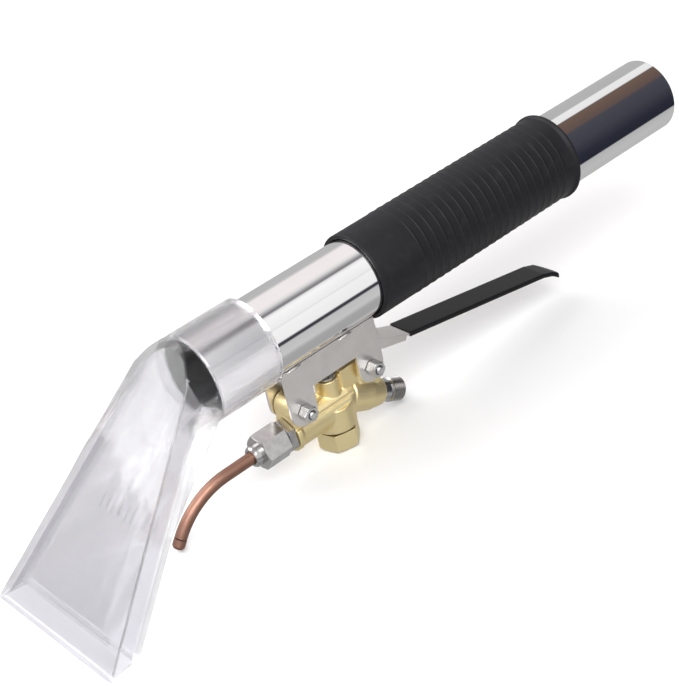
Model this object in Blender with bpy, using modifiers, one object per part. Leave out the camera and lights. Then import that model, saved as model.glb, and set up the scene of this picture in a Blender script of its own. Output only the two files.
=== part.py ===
"""Hand-held extraction wand for carpets and upholstery, in metres, +Z up.

The suction tube lies along Y. Its hose end is centred on the origin and its
clear head is at -Y. The head's mouth faces straight down. The trigger valve
hangs under the tube, and the lever that opens it runs back below the grip.
"""

from math import atan2, cos, pi, radians, sin, sqrt, tan

import bmesh
import bpy
from mathutils import Matrix, Vector

# ---- clearances ----
GAP = 0.0003               # between pieces that touch
CUT = 0.004                # how far a cutter runs past the wall it cuts

# ---- suction tube and grip ----
TUBE_RADIUS = 0.01905
TUBE_WALL = 0.0012
TUBE_LENGTH = 0.301
GRIP_SETBACK = 0.0942      # the grip's front edge behind the tube's front end
GRIP_LENGTH = 0.1306
GRIP_WALL = 0.0020
GRIP_LIP = 0.0011          # how far the rear lip stands out
GRIP_RIDGES = 20
RIDGE_PITCH = 0.0050
RIDGE_HEIGHT = 0.00025
RIDGE_HALF = 0.0006
LIP_WIDTH = 0.0015

# ---- clear head ----
SOCKET_DEPTH = 0.0325      # how far the tube goes into the head
HEAD_WALL = 0.0022
HEAD_BELOW = 0.05595       # mouth rim below the underside of the tube
FACE_ANGLE = radians(45.2)     # front face below the tube's axis
FACE_SET = 0.00115         # how far the front face cuts into the tube's own radius
MOUTH_WIDTH = 0.0888
FAN_DEPTH = 0.0137         # through the fan, square to its front face
MOUTH_DEPTH = 0.0117
THROAT_BLEND = 0.0606      # along the fan to where the throat blends out

# ---- bracket ----
VALVE_SETBACK = 0.0663     # the valve stem's axis behind the tube's front end
PLATE_GAP = 0.01412        # between the two plates
PLATE_WALL = 0.0015
BOLT_PITCH = 0.0416
BOLT_BELOW = 0.02295       # bolts below the underside of the tube
LEG_WIDTH = 0.0150
WINDOW_BELOW = 0.01345     # top of the window below the underside of the tube

# ---- bolts ----
BOLT_RADIUS = 0.0020
NUT_FLATS = 0.0070
NUT_HEIGHT = 0.0050
HEAD_HEIGHT = 0.0028
BOLT_TIP = 0.0012          # thread that shows past the nut

# ---- valve ----
BARREL_RADIUS = 0.0088
BARREL_BELOW = 0.0032      # top of the barrel below the bolts
BARREL_NOSE = 0.0065       # barrel's front end ahead of the front bolt
BARREL_REAR = 0.0150
FLANGE_LIP = 0.0005        # how far the flange stands out from the barrel
FLANGE_WIDTH = 0.0026
LUG_RADIUS = 0.0062
BOSS_RADIUS = 0.0060
BOSS_RISE = 0.0035         # top of the stem boss above the bolts
CHAMBER_RADIUS = 0.0062
SEAT_BELOW = 0.0035        # valve seat below the barrel's axis
SEAT_RADIUS = 0.0034
STEM_RADIUS = 0.0016
STEM_RISE = 0.0065         # top of the stem above its boss
CAP_FLATS = 0.0185
CAP_BELOW = 0.0122         # underside of the cap below the barrel's underside
CAP_HEIGHT = 0.0094
CAP_CUP = 0.0049           # radius of the cap's spring cup
SPRING_WIRE = 0.0009
SPRING_TURNS = 5
OUTLET_BORE = 0.0022
FEED_BELOW = 0.0014        # water's way into the chamber, below the seat

# ---- inlet ----
INLET_ANGLE = radians(25)
INLET_REACH = 0.0208       # along the inlet from the barrel's axis to its end face
INLET_START = 0.0085       # where the inlet's axis leaves the barrel's, behind the stem
NIPPLE_RADIUS = 0.0060
NIPPLE_LENGTH = 0.0134
THREAD_LENGTH = 0.0074      # of the nipple's end that is threaded
NIPPLE_SHANK = 0.0042
NIPPLE_BORE = 0.0019
NIPPLE_THREADS = 6

# ---- outlet fitting, copper tube and jet ----
FITTING_FLATS = 0.0155
FITTING_HEX = 0.0037
FITTING_SHANK = 0.0042
NECK_WALL = 0.0020         # radius of the fitting's neck, beyond the copper tube's
NECK_LENGTH = 0.0062
TUBE_STOP = 0.0015         # how far past the hexagon the tube's socket starts
NUT_LENGTH = 0.0136
NOSE_LENGTH = 0.0040
NOSE_WALL = 0.0022
FERRULE_WALL = 0.0014
FERRULE_LENGTH = 0.0026
COPPER_RADIUS = 0.0030
COPPER_BORE = 0.0019
COPPER_STRAIGHT = 0.0310   # from inside the fitting to the start of the bend
COPPER_BEND = 0.0380       # radius of the bend
COPPER_TURN = radians(60)
JET_LENGTH = 0.0045
JET_BORE = 0.0007

# ---- lever ----
LEVER_SHEET = 0.0010
LEVER_LIFT = 0.0012        # lever's nose above the top of the stem
LEVER_NOSE = 0.0060        # nose ahead of the stem
LEVER_STEP = 0.0089        # handle's start below the nose
LEVER_REACH = 0.1175       # pivot to the end of the straight handle
LEVER_SLOPE = radians(10.2)
LEVER_FLANGE = 0.0032
CHANNEL_END = 0.0252       # where the side flanges stop, behind the pivot
COATING = 0.0004
COATING_START = 0.0270     # behind the pivot
TIP_LENGTH = 0.0140
TIP_SLOPE = radians(27)
TIP_ROUND = 0.0110         # radius of the rounded end, seen from above

# ---- worked out from the sizes above ----
VALVE_Y = VALVE_SETBACK - TUBE_LENGTH
GRIP_FRONT = TUBE_LENGTH - GRIP_SETBACK     # distances from the hose end
GRIP_REAR = GRIP_FRONT - GRIP_LENGTH
GRIP_RADIUS = TUBE_RADIUS + GAP + GRIP_WALL
HEAD_DROP = TUBE_RADIUS + HEAD_BELOW        # each drop is below the tube's axis
BOLT_DROP = TUBE_RADIUS + BOLT_BELOW
WINDOW_DROP = TUBE_RADIUS + WINDOW_BELOW
BARREL_DROP = BOLT_DROP + BARREL_BELOW + BARREL_RADIUS
BOSS_DROP = BOLT_DROP - BOSS_RISE
SEAT_DROP = BARREL_DROP + SEAT_BELOW
STEM_DROP = BOSS_DROP - STEM_RISE
LEVER_DROP = STEM_DROP - LEVER_LIFT - GAP
BARREL_FRONT = BOLT_PITCH / 2 + BARREL_NOSE
FLANGE_RADIUS = BARREL_RADIUS + FLANGE_LIP
FAN_TOP_WIDTH = 2 * TUBE_RADIUS
TUBE_BORE = TUBE_RADIUS - TUBE_WALL
SOCKET_RADIUS = TUBE_RADIUS + GAP + HEAD_WALL
SOCKET_REAR = -TUBE_LENGTH + SOCKET_DEPTH
PLATE_X = PLATE_GAP / 2
PLATE_TOP = -sqrt(TUBE_RADIUS**2 - PLATE_X**2) - GAP
FRONT_BOLT = Vector((0, VALVE_Y - BOLT_PITCH / 2, -BOLT_DROP))
PIVOT = Vector((0, VALVE_Y + BOLT_PITCH / 2, -BOLT_DROP))
BARREL_AXIS = Vector((0, VALVE_Y, -BARREL_DROP))
BARREL_END = VALVE_Y - BARREL_FRONT
LEVER_HALF = PLATE_X - GAP - 0.00005
LUG_HALF = LEVER_HALF - LEVER_SHEET - GAP
CAP_BOTTOM = -BARREL_DROP - BARREL_RADIUS - CAP_BELOW
CAP_TOP = CAP_BOTTOM + CAP_HEIGHT
SEAL_WALL = 0.0006
BOSS_BOTTOM = CAP_TOP + SEAL_WALL + 2 * GAP
INLET_DIR = Vector((0, cos(INLET_ANGLE), -sin(INLET_ANGLE)))
INLET_ORIGIN = BARREL_AXIS + Vector((0, INLET_START, 0))
INLET_END = INLET_ORIGIN + INLET_DIR * INLET_REACH
SPRING_RADIUS = CAP_CUP - SPRING_WIRE / 2 - GAP
FITTING_NECK = COPPER_RADIUS + NECK_WALL
FERRULE_RADIUS = COPPER_RADIUS + FERRULE_WALL
NOSE_RADIUS = COPPER_RADIUS + NOSE_WALL

FORWARD = Vector((0, -1, 0))
UP = Vector((0, 0, 1))


# ---------------------------------------------------------------- tools

def clear_scene():
    for obj in list(bpy.data.objects):
        bpy.data.objects.remove(obj, do_unlink=True)


def new_collection(name):
    made = bpy.data.collections.new(name)
    bpy.context.scene.collection.children.link(made)
    return made


def material(name, colour, rough, metal=0.0, clear=0.0):
    made = bpy.data.materials.new(name)
    made.use_nodes = True
    shader = made.node_tree.nodes["Principled BSDF"]
    shader.inputs["Base Color"].default_value = (*colour, 1)
    shader.inputs["Roughness"].default_value = rough
    shader.inputs["Metallic"].default_value = metal
    shader.inputs["Transmission Weight"].default_value = clear
    return made


def facing(direction):
    """Rotation that turns local +Z to the given direction."""
    return Vector(direction).to_track_quat("Z", "Y").to_matrix().to_4x4()


def place(obj, collection, finish=None):
    collection.objects.link(obj)
    if finish:
        obj.data.materials.append(finish)
    return obj


def arc(centre, radius, start, end, count):
    """Points on a circle from one angle to another, in radians."""
    step = (end - start) / (count - 1)
    return [(centre[0] + radius * cos(start + step * i),
             centre[1] + radius * sin(start + step * i)) for i in range(count)]


def turned(name, profile, origin, axis, steps=32, loop=True):
    """A turned piece. The profile holds (radius, height) pairs and runs down the
    outer side first. A loop is a ring with a hole, and an open profile is solid."""
    mesh = bpy.data.meshes.new(name)
    points = [(r, 0, h) for r, h in profile]
    edges = [(i, i + 1) for i in range(len(points) - 1)]
    if loop:
        edges.append((len(points) - 1, 0))
    mesh.from_pydata(points, edges, [])
    obj = bpy.data.objects.new(name, mesh)
    obj.matrix_world = Matrix.Translation(origin) @ facing(axis)
    screw = obj.modifiers.new("turn", "SCREW")
    screw.steps = steps
    screw.render_steps = steps
    screw.use_merge_vertices = True
    screw.merge_threshold = 0.00001
    return obj


def rod(name, radius, start, direction, length, steps=32):
    """A plain cylinder that starts at a point and runs along a direction."""
    return turned(name, [(0, length), (radius, length), (radius, 0), (0, 0)],
                  start, direction, steps, loop=False)


def hexagon(name, flats, start, direction, length, chamfer=0.0, turn=0.0):
    """A hexagonal bar, with its far end's corners chamfered."""
    mesh = bpy.data.meshes.new(name)
    form = bmesh.new()
    bmesh.ops.create_cone(form, cap_ends=True, segments=6, radius1=flats / sqrt(3),
                          radius2=flats / sqrt(3), depth=length,
                          matrix=Matrix.Translation((0, 0, length / 2)) @ Matrix.Rotation(turn, 4, "Z"))
    form.to_mesh(mesh)
    form.free()
    obj = bpy.data.objects.new(name, mesh)
    obj.matrix_world = Matrix.Translation(start) @ facing(direction)
    if chamfer:
        corner = flats / sqrt(3)
        tool = turned(name + "_chamfer",
                      [(0, length + CUT), (flats / 2 * 0.97, length + 0.00001),
                       (corner + CUT, length - (corner + CUT - flats / 2 * 0.97) * 0.55),
                       (corner + CUT, -CUT), (0, -CUT)],
                      start, direction, 36, loop=False)
        join_shape(obj, tool, "INTERSECT")
    return obj


def slab(name, outline, low, high):
    """A flat outline in the YZ plane, filled and extruded from X = low to X = high."""
    curve = bpy.data.curves.new(name, "CURVE")
    curve.dimensions = "2D"
    curve.fill_mode = "BOTH"
    curve.extrude = (high - low) / 2
    line = curve.splines.new("POLY")
    line.points.add(len(outline) - 1)
    for point, (y, z) in zip(line.points, outline):
        point.co = (y, z, 0, 1)
    line.use_cyclic_u = True
    obj = bpy.data.objects.new(name, curve)
    obj.matrix_world = Matrix(((0, 0, 1, (low + high) / 2), (1, 0, 0, 0),
                               (0, 1, 0, 0), (0, 0, 0, 1)))
    return as_mesh(obj)


def as_mesh(obj):
    """The same object as a closed mesh with its modifiers applied."""
    linked = obj.name in SHOP.objects
    if not linked:
        SHOP.objects.link(obj)
    bpy.context.view_layer.update()
    source = obj.evaluated_get(bpy.context.evaluated_depsgraph_get())
    mesh = bpy.data.meshes.new_from_object(source)
    form = bmesh.new()
    form.from_mesh(mesh)
    bmesh.ops.remove_doubles(form, verts=form.verts, dist=0.000002)
    bmesh.ops.triangulate(form, faces=form.faces)
    bmesh.ops.recalc_face_normals(form, faces=form.faces)
    form.to_mesh(mesh)
    form.free()
    name = obj.name
    turned_to = obj.matrix_world.copy()
    bpy.data.objects.remove(obj, do_unlink=True)
    mesh.name = name
    made = bpy.data.objects.new(name, mesh)
    made.matrix_world = turned_to
    return made


def join_shape(obj, tool, operation):
    """Adds a Boolean to obj. The tool stays in the cutters' collection, unseen."""
    if tool.name not in CUTTERS.objects:
        CUTTERS.objects.link(tool)
    tool.hide_render = True
    tool.display_type = "WIRE"
    change = obj.modifiers.new(operation.lower(), "BOOLEAN")
    change.operation = operation
    change.solver = "EXACT"
    change.object = tool
    return obj


def add(obj, *tools):
    for tool in tools:
        join_shape(obj, tool, "UNION")
    return obj


def cut(obj, *tools):
    for tool in tools:
        join_shape(obj, tool, "DIFFERENCE")
    return obj


def round_off(obj, angle=radians(32)):
    """Applies what is on the object and shades its round faces smooth."""
    done = as_mesh(obj)
    done.data.shade_smooth()
    done.data.set_sharp_from_angle(angle=angle)
    return done


def finished(obj, finish):
    done = round_off(obj)
    done.data.materials.clear()
    return place(done, WAND, finish)


def washer_profile(outer, inner, top, bottom):
    return [(outer, top), (outer, bottom), (inner, bottom), (inner, top)]


# ---------------------------------------------------------------- tube and grip

def suction_tube():
    ring = washer_profile(TUBE_RADIUS, TUBE_BORE, TUBE_LENGTH, 0)
    tube = turned("suction_tube", ring, (0, 0, 0), FORWARD, 48)
    return finished(tube, STEEL)


def grip_sleeve():
    """A rubber sleeve with a lip at the hose end and fine ridges round it."""
    lip = GRIP_RADIUS + GRIP_LIP
    edge = 0.0005
    outline = [(GRIP_RADIUS - edge, GRIP_LENGTH), (GRIP_RADIUS, GRIP_LENGTH - edge)]
    first = GRIP_LENGTH - (GRIP_LENGTH - RIDGE_PITCH * (GRIP_RIDGES - 1)) * 0.72
    for i in range(GRIP_RIDGES):
        middle = first - i * RIDGE_PITCH
        outline += [(GRIP_RADIUS, middle + RIDGE_HALF), (GRIP_RADIUS + RIDGE_HEIGHT, middle),
                    (GRIP_RADIUS, middle - RIDGE_HALF)]
    outline += [(GRIP_RADIUS, LIP_WIDTH + GRIP_LIP), (lip, LIP_WIDTH), (lip, edge), (lip - edge, 0)]
    bore = TUBE_RADIUS + GAP
    outline += [(bore, 0), (bore, GRIP_LENGTH)]
    return finished(turned("grip_sleeve", outline, FORWARD * GRIP_REAR, FORWARD, 40), RUBBER)


# ---------------------------------------------------------------- clear head

FACE_DIR = Vector((0, -cos(FACE_ANGLE), -sin(FACE_ANGLE)))
FACE_NORMAL = Vector((0, -sin(FACE_ANGLE), cos(FACE_ANGLE)))
FACE_ORIGIN = Vector((0, -TUBE_LENGTH, 0)) + FACE_NORMAL * (TUBE_RADIUS - FACE_SET)


def face_run(z):
    """How far down the front face a height lies, measured from FACE_ORIGIN."""
    return (FACE_ORIGIN.z - z) / sin(FACE_ANGLE)


FACE_LENGTH = face_run(-HEAD_DROP)
FAN_START = face_run(TUBE_RADIUS * 0.60)
THROAT_RUN = FAN_START + THROAT_BLEND


def on_face(run, depth=0.0):
    """(y, z) of a point down the front face, at a depth behind it."""
    point = FACE_ORIGIN + FACE_DIR * run - FACE_NORMAL * depth
    return point.y, point.z


def half_width(run):
    share = (run - FAN_START) / (FACE_LENGTH - FAN_START)
    return (FAN_TOP_WIDTH + (MOUTH_WIDTH - FAN_TOP_WIDTH) * share) / 2


def rear_depth(run):
    """Depth of the fan's rear face behind its front face."""
    share = (run - FAN_START) / (FACE_LENGTH - FAN_START)
    return FAN_DEPTH + (MOUTH_DEPTH - FAN_DEPTH) * share


def box_between(name, sections):
    """A solid hull round two four-cornered sections across the fan.
    Each section is (run down the face, half width, front depth, rear depth)."""
    mesh = bpy.data.meshes.new(name)
    form = bmesh.new()
    for run, across, front, rear in sections:
        for side in (-1, 1):
            for depth in (front, rear):
                form.verts.new((side * across, *on_face(run, depth)))
    return hull(name, mesh, form)


def hull(name, mesh, form):
    bmesh.ops.convex_hull(form, input=form.verts)
    loose = [v for v in form.verts if not v.link_faces]
    bmesh.ops.delete(form, geom=loose, context="VERTS")
    bmesh.ops.recalc_face_normals(form, faces=form.faces)
    form.to_mesh(mesh)
    form.free()
    return bpy.data.objects.new(name, mesh)


def fan(name, wall, start):
    """The flat fan, carried on in front of its face and past its mouth."""
    draw_in = wall / cos(atan2(MOUTH_WIDTH - FAN_TOP_WIDTH, 2 * FACE_LENGTH))
    ahead = -2 * CUT
    return box_between(name, [(run, half_width(run) - draw_in, ahead, rear_depth(run) - wall)
                              for run in (start, FACE_LENGTH + 0.025)])


def throat(name):
    """The blend from the round socket to the fan: a hull round both sections."""
    mesh = bpy.data.meshes.new(name)
    form = bmesh.new()
    inset = 0.0001
    circle = Matrix.Translation((0, -TUBE_LENGTH - 0.002, 0)) @ Matrix.Rotation(pi / 2, 4, "X")
    bmesh.ops.create_circle(form, segments=48, radius=SOCKET_RADIUS - inset, matrix=circle)
    for side in (-1, 1):
        for depth in (-CUT, rear_depth(THROAT_RUN) - inset):
            form.verts.new((side * (half_width(THROAT_RUN) - inset), *on_face(THROAT_RUN, depth)))
    return hull(name, mesh, form)


def face_limit(name, wall, bottom):
    """Everything behind the front face and above the mouth."""
    low = FACE_LENGTH - (bottom + HEAD_DROP) / sin(FACE_ANGLE) + wall / tan(FACE_ANGLE)
    high = face_run(0.06)
    return slab(name, [on_face(low, wall), (0.05, on_face(low, wall)[1]), (0.05, 0.06),
                       on_face(high, wall)], -0.1, 0.1)


def clear_head():
    reach = 0.06
    head = rod("clear_head", SOCKET_RADIUS, (0, SOCKET_REAR, 0), FORWARD, SOCKET_DEPTH + reach, 48)
    add(head, throat("throat_outside"), fan("fan_outside", 0, FAN_START))
    join_shape(head, face_limit("outside_limit", 0, -HEAD_DROP), "INTERSECT")
    bore = rod("bore_inside", TUBE_BORE - GAP, (0, CUT - TUBE_LENGTH, 0), FORWARD, CUT + reach, 48)
    add(bore, fan("fan_inside", HEAD_WALL, FAN_START - HEAD_WALL))
    join_shape(bore, face_limit("inside_limit", HEAD_WALL, -HEAD_DROP - CUT), "INTERSECT")
    room = add(as_mesh(bore), rod("socket_inside", TUBE_RADIUS + GAP, (0, SOCKET_REAR + CUT, 0), FORWARD,
                                  SOCKET_DEPTH + CUT + GAP, 48))
    head = cut(as_mesh(head), as_mesh(room))
    for side in (-1, 1):
        y, z = on_face(0.062, FAN_DEPTH - 0.0004)
        pad = slab("pad_%d" % side, [(y + 0.0035, z + 0.0045), (y - 0.0035, z - 0.0025),
                                     (y - 0.0022, z - 0.0042), (y + 0.0048, z + 0.0028)],
                   side * 0.009 - 0.004, side * 0.009 + 0.004)
        add(head, pad)
    return finished(head, CLEAR)


# ---------------------------------------------------------------- bracket

def bracket_plate(name, side):
    """One of the two steel plates: a leg round each bolt and a window between."""
    front, rear = FRONT_BOLT.y, PIVOT.y
    half = LEG_WIDTH / 2
    outline = [(front - half, PLATE_TOP)]
    outline += arc((front, -BOLT_DROP), half, pi, 2 * pi, 13)
    outline += [(front + half, -WINDOW_DROP), (rear - half, -WINDOW_DROP)]
    outline += arc((rear, -BOLT_DROP), half, pi, 2 * pi, 13)
    grip_edge = -GRIP_FRONT - GAP
    outline += [(rear + half, -GRIP_RADIUS - 0.006), (grip_edge, -GRIP_RADIUS - GAP),
                (grip_edge, PLATE_TOP)]
    low, high = sorted((side * PLATE_X, side * (PLATE_X + PLATE_WALL)))
    plate = slab(name, outline, low, high)
    for bolt in (FRONT_BOLT, PIVOT):
        hole = rod(name + "_hole", BOLT_RADIUS + GAP, bolt + Vector((low - CUT, 0, 0)),
                   (1, 0, 0), PLATE_WALL + 2 * CUT, 20)
        cut(plate, hole)
    return finished(plate, SATIN)


def weld_beads():
    """Short beads in the corners between the plates and the tube."""
    bead = 0.0009
    x = PLATE_X + PLATE_WALL + GAP + bead
    z = -sqrt((TUBE_RADIUS + GAP + bead) ** 2 - x**2)
    places = {"front": FRONT_BOLT.y - 0.001, "rear": VALVE_Y + 0.009}
    for hand, side in (("right", 1), ("left", -1)):
        for end, y in places.items():
            name = "weld_bead_%s_%s" % (end, hand)
            mesh = bpy.data.meshes.new(name)
            form = bmesh.new()
            shape = Matrix.Diagonal((bead, 0.0042, bead, 1))
            bmesh.ops.create_uvsphere(form, u_segments=8, v_segments=6, radius=1, matrix=shape)
            form.to_mesh(mesh)
            form.free()
            made = bpy.data.objects.new(name, mesh)
            made.matrix_world = Matrix.Translation((side * x, y, z))
            finished(made, SATIN)


def bolt(name, axis):
    """A screw with a pan head at -X and its thread end at +X."""
    head = 0.0036
    outside = PLATE_X + PLATE_WALL + GAP
    tip = outside + NUT_HEIGHT + BOLT_TIP
    profile = [(0, tip), (BOLT_RADIUS - 0.0005, tip), (BOLT_RADIUS, tip - 0.0006),
               (BOLT_RADIUS, -outside), (head, -outside), (head, -outside - HEAD_HEIGHT * 0.55),
               (head * 0.78, -outside - HEAD_HEIGHT), (0, -outside - HEAD_HEIGHT)]
    return finished(turned(name, profile, axis, (1, 0, 0), 20, loop=False), ZINC)


def nut(name, axis):
    start = axis + Vector((PLATE_X + PLATE_WALL + GAP, 0, 0))
    piece = hexagon(name, NUT_FLATS, start, (1, 0, 0), NUT_HEIGHT, 0.3, radians(20))
    cut(piece, rod(name + "_hole", BOLT_RADIUS + GAP, start - Vector((CUT, 0, 0)),
                   (1, 0, 0), NUT_HEIGHT + 2 * CUT, 20))
    return finished(piece, ZINC)


# ---------------------------------------------------------------- valve

def lug(name, centre, half, radius):
    """An upright ear of the valve body, round at the top, round one bolt."""
    low = -BARREL_DROP - half * 0.1
    outline = arc((centre.y, centre.z), radius, 0, pi, 15)
    outline += [(centre.y - radius, low), (centre.y + radius, low)]
    return slab(name, outline, -half, half)


def valve_body():
    barrel_start = BARREL_AXIS + Vector((0, BARREL_REAR, 0))
    length = BARREL_FRONT + BARREL_REAR
    flange = length - FLANGE_WIDTH
    profile = [(0, length), (FLANGE_RADIUS, length), (FLANGE_RADIUS, flange),
               (BARREL_RADIUS, flange - 0.0006)]
    profile += [(BARREL_RADIUS * cos(a), BARREL_RADIUS - BARREL_RADIUS * sin(a))
                for a in (0, pi / 8, pi / 4, 3 * pi / 8)] + [(0, 0)]
    body = turned("valve_body", profile, barrel_start, FORWARD, 32, loop=False)
    shoulder = INLET_REACH - 0.0088
    inlet = turned("inlet_branch", [(0, INLET_REACH), (NIPPLE_RADIUS + 0.0008, INLET_REACH),
                                    (NIPPLE_RADIUS + 0.0012, INLET_REACH - 0.002),
                                    (BARREL_RADIUS - 0.0002, shoulder), (BARREL_RADIUS - 0.0002, 0),
                                    (0, 0)],
                   INLET_ORIGIN, INLET_DIR, 32, loop=False)
    hex_corner = CAP_FLATS / sqrt(3)
    boss = rod("cap_boss", hex_corner - 0.0004, (0, VALVE_Y, BOSS_BOTTOM), UP,
               -BARREL_DROP - BOSS_BOTTOM + BARREL_RADIUS / 5, 32)
    foot = BARREL_DROP + BARREL_RADIUS / 4
    top = rod("stem_boss", BOSS_RADIUS, (0, VALVE_Y, -foot), UP, foot - BOSS_DROP, 28)
    front_lug = lug("front_lug", FRONT_BOLT, PLATE_X - 1.2 * GAP, LUG_RADIUS)
    rear_lug = lug("rear_lug", PIVOT, LUG_HALF, LUG_RADIUS - 0.0004)
    yoke_top = -BOLT_DROP + LUG_RADIUS - 0.0012
    yoke_start, yoke_end = VALVE_Y + BOSS_RADIUS - 0.001, PIVOT.y - 0.0007
    yoke = slab("yoke", [(yoke_start, -BARREL_DROP + 0.001), (yoke_end, -BARREL_DROP + 0.001),
                         (yoke_end, yoke_top), (yoke_start, yoke_top)],
                -LUG_HALF + 0.0006, LUG_HALF - 0.0006)
    add(body, inlet, boss, top, front_lug, rear_lug, yoke)
    for centre in (FRONT_BOLT, PIVOT):
        cut(body, rod("lug_hole", BOLT_RADIUS + GAP, centre - Vector((0.02, 0, 0)), (1, 0, 0), 0.04, 20))
    axis = Vector((0, VALVE_Y, 0))
    chamber = rod("chamber", CHAMBER_RADIUS, axis + UP * (BOSS_BOTTOM - CUT), UP,
                  -SEAT_DROP - BOSS_BOTTOM + CUT, 28)
    passage = rod("passage", SEAT_RADIUS, axis - UP * (SEAT_DROP + CUT), UP, 0.0075 + CUT, 24)
    stem_way = rod("stem_way", STEM_RADIUS + GAP, axis - UP * (SEAT_DROP - 0.003), UP,
                   SEAT_DROP - 0.003 - BOSS_DROP + CUT, 20)
    gland = rod("gland_seat", 0.0040, axis - UP * (BOSS_DROP + 0.0062), UP, 0.0062 + CUT, 22)
    outlet = rod("outlet_way", OUTLET_BORE, BARREL_AXIS - FORWARD * (SEAT_RADIUS / 3), FORWARD,
                 BARREL_FRONT + SEAT_RADIUS / 3 + CUT, 18)
    port = rod("outlet_port", FITTING_SHANK + GAP, (0, BARREL_END - CUT, -BARREL_DROP), -FORWARD,
               0.0078 + CUT, 24)
    feed_height = SEAT_DROP + FEED_BELOW
    feed_run = (feed_height - BARREL_DROP) / sin(INLET_ANGLE)
    feed = rod("feed_way", 0.0016, INLET_ORIGIN + INLET_DIR * feed_run, INLET_DIR,
               INLET_REACH - feed_run + CUT, 20)
    cross = rod("cross_way", 0.0015, (0, VALVE_Y + CHAMBER_RADIUS - 0.0013, -feed_height), -FORWARD,
                INLET_START - CHAMBER_RADIUS + 0.0013 + feed_run * cos(INLET_ANGLE) + 0.0009, 18)
    socket = rod("inlet_port", NIPPLE_SHANK + GAP, INLET_END + INLET_DIR * CUT, -INLET_DIR,
                 0.0082 + CUT, 24)
    body = as_mesh(body)
    leg_end = -BOLT_DROP - LEG_WIDTH / 2 - GAP
    cheek = [(BARREL_END - CUT, leg_end), (PIVOT.y + 0.02, leg_end), (PIVOT.y + 0.02, 0),
             (BARREL_END - CUT, 0)]
    cut(body, slab("cheek_right", cheek, PLATE_X - GAP, 0.02),
        slab("cheek_left", cheek, -0.02, GAP - PLATE_X))
    cut(body, chamber, passage, stem_way, gland, outlet, port, feed, cross, socket)
    return finished(body, BRASS)


def valve_insides():
    """Stem, seals, poppet and spring on the stem's axis, from top to bottom."""
    axis = Vector((0, VALVE_Y, 0))
    gland_floor = -(BOSS_DROP + 0.0062)
    ring = [(0.0037, 0.0018), (0.0037, 0.0002), (0.0034, 0), (0.0022, 0), (STEM_RADIUS + GAP, 0.0002),
            (STEM_RADIUS + GAP, 0.0018)]
    made = [finished(turned("stem_seal", ring, axis + UP * (gland_floor + GAP), UP, 24), SEAL)]
    guide_low = gland_floor + 0.0018 + 2 * GAP
    guide = [(0.0049, -BOSS_DROP + 0.0012), (0.0049, -BOSS_DROP + GAP), (0.0037, -BOSS_DROP + GAP),
             (0.0037, guide_low), (STEM_RADIUS + GAP, guide_low), (STEM_RADIUS + GAP, -BOSS_DROP + 0.0012)]
    made.append(finished(turned("stem_guide", guide, axis, UP, 24), NICKEL))
    pad = 0.0015
    seal_top = -SEAT_DROP - GAP
    poppet_top = seal_top - pad - GAP
    stem = [(0, -STEM_DROP), (STEM_RADIUS * 0.6, -STEM_DROP), (STEM_RADIUS, -STEM_DROP - 0.0006),
            (STEM_RADIUS, poppet_top + GAP), (0, poppet_top + GAP)]
    made.append(finished(turned("valve_stem", stem, axis, UP, 20, loop=False), NICKEL))
    edge = CAP_CUP - 0.0004
    seal = washer_profile(edge, STEM_RADIUS + GAP, seal_top, seal_top - pad)
    made.append(finished(turned("poppet_seal", seal, axis, UP, 24), SEAL))
    base = poppet_top - 0.0022
    nose = SPRING_RADIUS - SPRING_WIRE / 2 - GAP
    poppet = [(0, poppet_top), (edge, poppet_top), (edge, base), (nose, base), (nose, base - 0.001),
              (nose * 0.7, base - 0.0022), (0, base - 0.0022)]
    made.append(finished(turned("poppet", poppet, axis, UP, 24, loop=False), BRASS))
    cup_floor = CAP_BOTTOM + 0.0025
    made.append(spring(base - GAP, cup_floor + GAP))
    return made


def spring(top, bottom):
    """A coil between the poppet and the cap, as a round wire on a helix."""
    curve = bpy.data.curves.new("valve_spring", "CURVE")
    curve.dimensions = "3D"
    curve.bevel_depth = SPRING_WIRE / 2
    curve.bevel_resolution = 2
    curve.use_fill_caps = True
    per_turn = 14
    count = SPRING_TURNS * per_turn + 1
    line = curve.splines.new("POLY")
    line.points.add(count - 1)
    low, high = bottom + SPRING_WIRE / 2, top - SPRING_WIRE / 2
    for i, point in enumerate(line.points):
        angle = 2 * pi * i / per_turn
        height = low + (high - low) * i / (count - 1)
        point.co = (SPRING_RADIUS * cos(angle), VALVE_Y + SPRING_RADIUS * sin(angle), height, 1)
    return finished(bpy.data.objects.new("valve_spring", curve), ZINC)


def valve_cap():
    start = (0, VALVE_Y, CAP_TOP)
    cap = hexagon("valve_cap", CAP_FLATS, start, -UP, CAP_HEIGHT, 0.3, radians(16))
    spigot = rod("cap_spigot", CHAMBER_RADIUS - GAP, (0, VALVE_Y, CAP_TOP - 0.001), UP, 0.0038, 28)
    cup = rod("cap_cup", CAP_CUP, (0, VALVE_Y, CAP_BOTTOM + 0.0025), UP, CAP_HEIGHT + CUT, 28)
    add(cap, spigot)
    cut(cap, cup)
    ring = washer_profile(CAP_FLATS / 2 - 0.0006, CHAMBER_RADIUS + GAP, SEAL_WALL, 0)
    seal = turned("cap_seal", ring, (0, VALVE_Y, CAP_TOP + GAP), UP, 28)
    return [finished(cap, BRASS), finished(seal, SEAL)]


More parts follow.
